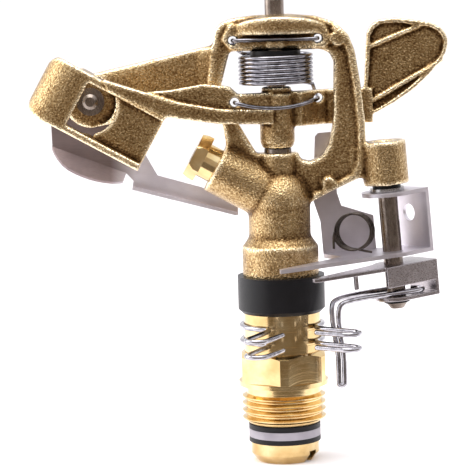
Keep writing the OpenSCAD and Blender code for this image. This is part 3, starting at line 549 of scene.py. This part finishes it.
coil_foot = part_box("arm_bushing")[1].z / MM + 0.7
arm_hole_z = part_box("arm_bushing")[0].z / MM + 12
yoke_hole_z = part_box("spring_seat")[1].z / MM + 2.76
turns, rise = 7 + 115 / 360, 1.02
coil_head = coil_foot + turns * rise
lower_end = [(-10.4, -3.4, arm_hole_z), (-10.4, -7.6, arm_hole_z), (-9.6, -8.9, arm_hole_z - 0.2),
             (-5.5, -7.6, arm_hole_z - 1.3), (0, -6.4, arm_hole_z - 1.8), (5.5, -5, arm_hole_z - 1.2),
             (9.2, -2, arm_hole_z - 0.2), (10.4, 0.6, arm_hole_z), (10.4, 6.4, arm_hole_z),
             (10, 7.9, arm_hole_z + 0.8), (9.2, 7.4, coil_foot - 0.6)]
upper_end = [(-9.3, 5.6, coil_head + 0.9), (-10.5, 5.2, yoke_hole_z - 1.2), (-10.5, 3.8, yoke_hole_z),
             (-10.5, -3.4, yoke_hole_z), (-9.5, -4.2, yoke_hole_z), (0, -4.2, yoke_hole_z + 0.1),
             (9.5, -4.2, yoke_hole_z), (10.5, -3.4, yoke_hole_z), (10.5, 2.4, yoke_hole_z)]
wound = coil((0, 0, coil_foot), 8.8, rise, turns, 35, (0, 1, 0), (0, 0, 1))
hammer_spring = bent_wire("hammer_torsion_spring", smooth_bends(lower_end) + wound + smooth_bends(upper_end),
                          1.0, drawn_wire("drawn spring steel", "#68666b", "#a09ea5", 0.16), "hammer_spring")
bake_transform(hammer_spring)

# ---------------------------------------------------------------------------
# Toggle spring. Fine black spring wire: three slanting turns in front of the
# bracket, and two legs that bear on the bracket and the lever.
# ---------------------------------------------------------------------------

low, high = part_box("toggle_spring")
middle = Vector((17.5, -8, high.z / MM - 4.8))
slanting = coil(middle, 4.5, 1, 3.25, 180, (0, 0, 1), (0.42, 0.63, 0))
left_leg = [middle + Vector(p) for p in ((-4.5, -0.1, -4), (-4.5, 0, -1.2))]
right_leg = [middle + Vector(p) for p in ((1.97, 2.05, -4.7), (5, 2.4, -5.4))]
toggle = bent_wire("toggle_wire_spring", smooth_bends(left_leg) + slanting + smooth_bends(right_leg), 0.6,
                   drawn_wire("black spring wire", "#3a3431", "#5e5650", 0.3), "toggle_spring")
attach(toggle, "bracket")

# ---------------------------------------------------------------------------
# Studio. A plain pale floor, a soft box at the left and one above, dull cards in
# front and at the right that only the metal sees, and the camera.
# ---------------------------------------------------------------------------


def stage_plane(name, corners, material):
    """A flat stage piece with those corners."""
    bm = bmesh.new()
    bm.faces.new([bm.verts.new(c) for c in corners])
    mesh = bpy.data.meshes.new(name)
    bm.to_mesh(mesh)
    bm.free()
    plane = bpy.data.objects.new(name, mesh)
    bpy.context.scene.collection.objects.link(plane)
    mesh.materials.append(material)
    return plane


def plain_surface(name, colour, roughness=0.9):
    m = new_material(name)
    shader = add_node(m, "ShaderNodeBsdfPrincipled", {"Base Color": linear(colour), "Roughness": roughness})
    return finish_material(m, shader)


ground = cad_low.z
mat_height = ground + 0.4 * MM
stage_plane("floor", [(-4, -3, ground), (4, -3, ground), (4, 6, ground), (-4, 6, ground)],
            plain_surface("white card", "#fbf8f9"))
dull_card = plain_surface("dark card", "#978e86")
front_card = stage_plane("front_card", [(-0.9, -0.72, ground), (0.75, -0.72, ground),
                                        (0.75, -0.72, 0.4), (-0.9, -0.72, 0.4)], dull_card)
side_card = stage_plane("side_card", [(0.75, -0.72, ground), (0.75, 0.02, ground),
                                      (0.75, 0.02, 0.35), (0.75, -0.72, 0.35)], dull_card)
mat = stage_plane("dark_mat", [(-0.05, -0.08, mat_height), (-0.9, -0.71, mat_height), (0.74, -0.71, mat_height),
                               (0.74, 0.0, mat_height), (0.09, -0.05, mat_height)],
                  plain_surface("dark mat", "#544b43"))
for card in (front_card, side_card, mat):
    card.visible_camera = card.visible_diffuse = card.visible_shadow = False

world = bpy.data.worlds.new("studio")
bpy.context.scene.world = world
world.use_nodes = True
world.node_tree.nodes["Background"].inputs["Color"].default_value = linear("#fcfbfd")
world.node_tree.nodes["Background"].inputs["Strength"].default_value = 1.15


def soft_box(name, place, width, height, power):
    """A rectangular light that faces the middle of the sprinkler."""
    lamp = bpy.data.lights.new(name, "AREA")
    lamp.shape = "RECTANGLE"
    lamp.size, lamp.size_y = width, height
    lamp.energy = power
    box = bpy.data.objects.new(name, lamp)
    box.location = place
    aim = Vector((0, 0, 0.05)) - Vector(place)
    box.rotation_euler = aim.to_track_quat("-Z", "Y").to_euler()
    bpy.context.scene.collection.objects.link(box)


soft_box("left_box", (-0.6, 0.12, 0.3), 0.42, 0.6, 2.6)
soft_box("top_box", (-0.05, -0.1, 0.65), 0.6, 0.5, 3.6)

eye = Vector((-11.2, -596, 116.4)) * MM
target = Vector((-11.2, 0, 43.2)) * MM
camera_data = bpy.data.cameras.new("camera")
camera_data.lens = 184.6
camera_data.sensor_width = 36
camera = bpy.data.objects.new("camera", camera_data)
bpy.context.scene.collection.objects.link(camera)
camera.matrix_world = (Matrix.Translation(eye) @ (target - eye).to_track_quat("-Z", "Y").to_matrix().to_4x4()
                       @ Matrix.Rotation(math.radians(-1.6), 4, "Z"))
bpy.context.scene.camera = camera
bpy.context.scene.view_settings.view_transform = "Standard"
